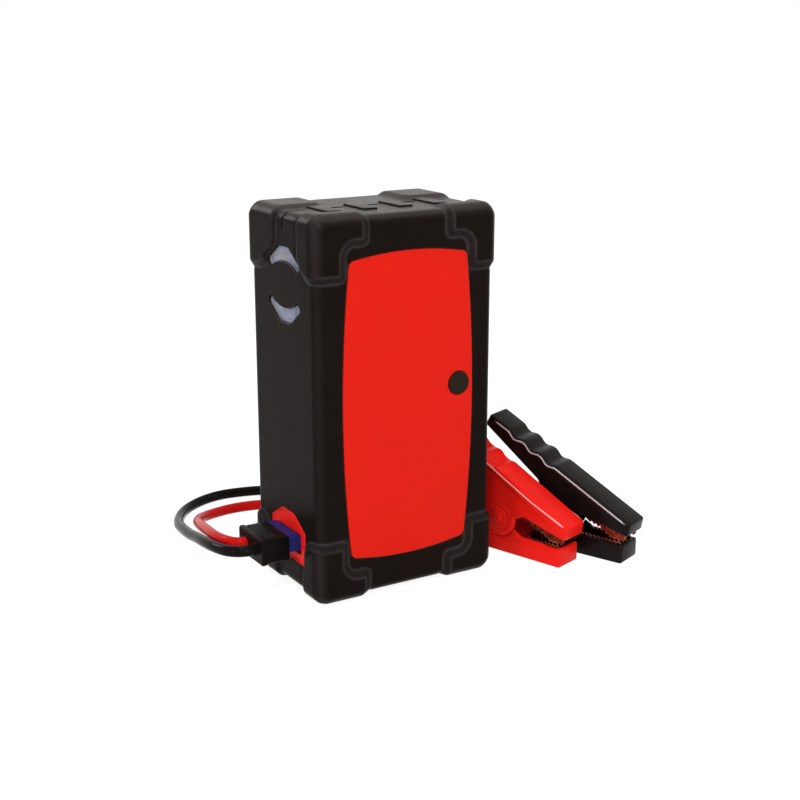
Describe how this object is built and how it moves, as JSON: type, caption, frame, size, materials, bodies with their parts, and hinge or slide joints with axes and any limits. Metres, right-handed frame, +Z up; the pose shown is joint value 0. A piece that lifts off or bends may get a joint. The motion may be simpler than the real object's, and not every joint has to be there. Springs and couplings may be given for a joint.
{
  "type": "jump starter pack",
  "caption": "Upright lithium jump starter with corner guards, red panel, power button and side lamp, with its plug-in lead set and red and black spring clamps.",
  "frame": {"origin": "centre of the case's footprint, on the floor that its corner guards stand on", "axes": "+Z up, the red panel with the power button faces -Y, the lamp and the output socket are in the -X wall, the clamps stand on the floor on the +X side"},
  "size_m": [0.2594, 0.2515, 0.23],
  "materials": {
    "case_black": "fine moulded grain, satin",
    "panel_red": "smooth satin lacquer",
    "button_black": "smooth semi-gloss",
    "seal_rubber": "matt silicone",
    "steel": "zinc plated",
    "board_green": "solder mask",
    "lens_clear": "clear polycarbonate",
    "reflector_silver": "metallised plastic",
    "led_yellow": "phosphor",
    "tray_red": "satin",
    "socket_blue": "smooth nylon",
    "contact_brass": "plain metal",
    "frame_grey": "moulded",
    "cell_wrap": "foil pouch",
    "foam_grey": "foam",
    "relay_black": "moulded",
    "can_aluminium": "sleeved can",
    "fuse_white": "ceramic look",
    "plug_black": "satin",
    "cable_black": "smooth jacket",
    "cable_red": "smooth jacket",
    "clamp_red": "smooth semi-gloss",
    "clamp_black": "smooth semi-gloss",
    "jaw_copper": "bright copper plate",
    "lug_tin": "tinned crimp"
  },
  "bodies": {
    "case": {"front_shell": "case_black", "rear_shell": "case_black", "case_seal": "seal_rubber", "case_screws": "steel", "front_panel": "panel_red", "switch_dome": "seal_rubber", "control_board": "board_green", "lamp_lens": "lens_clear", "lamp_reflector": "reflector_silver", "lamp_board": "board_green", "lamp_leds": "led_yellow", "socket_tray": "tray_red", "socket_body": "socket_blue", "socket_pins": "contact_brass", "battery_frame": "frame_grey", "battery_cells_front": "cell_wrap", "battery_cells_rear": "cell_wrap", "cell_foam": "foam_grey", "cell_links": "contact_brass", "main_board": "board_green", "power_relay": "relay_black", "power_mosfets": "relay_black", "filter_capacitor": "can_aluminium", "main_fuse": "fuse_white", "output_bars": "contact_brass", "black_cable": "cable_black", "red_cable": "cable_red", "red_lower_half": "clamp_red", "red_lower_jaw": "jaw_copper", "red_pivot_pin": "steel", "red_spring": "steel", "red_lug": "lug_tin", "black_lower_half": "clamp_black", "black_lower_jaw": "jaw_copper", "black_pivot_pin": "steel", "black_spring": "steel", "black_lug": "lug_tin"},
    "button": {"power_button": "button_black"},
    "plug": {"plug_hood": "plug_black", "plug_insert": "socket_blue", "plug_sleeves": "contact_brass"},
    "red_upper": {"red_upper_half": "clamp_red", "red_upper_jaw": "jaw_copper"},
    "black_upper": {"black_upper_half": "clamp_black", "black_upper_jaw": "jaw_copper"}
  },
  "joints": [
    {"name": "button_press", "type": "slide", "parent": "case", "child": "button", "axis": [0, 1, 0], "range_m": [0, 0.0012], "stiffness_N_per_m": 1200, "springref_m": -0.0008, "deforming": ["switch_dome"]},
    {"name": "plug_pull", "type": "slide", "parent": "case", "child": "plug", "axis": [-1, 0, 0], "range_m": [0, 0.02], "deforming": ["black_cable", "red_cable"]},
    {"name": "red_squeeze", "type": "hinge", "parent": "case", "child": "red_upper", "pos_m": [0.09151, -0.01587, 0.0225], "axis": [-0.9511, -0.309, 0], "range_deg": [0, 32], "stiffness_Nm_per_rad": 2.1, "springref_deg": -32.09, "deforming": ["red_spring"]},
    {"name": "black_squeeze", "type": "hinge", "parent": "case", "child": "black_upper", "pos_m": [0.12583, -0.03103, 0.0225], "axis": [-0.9272, -0.3746, 0], "range_deg": [0, 32], "stiffness_Nm_per_rad": 2.1, "springref_deg": -32.09, "deforming": ["black_spring"]}
  ]
}
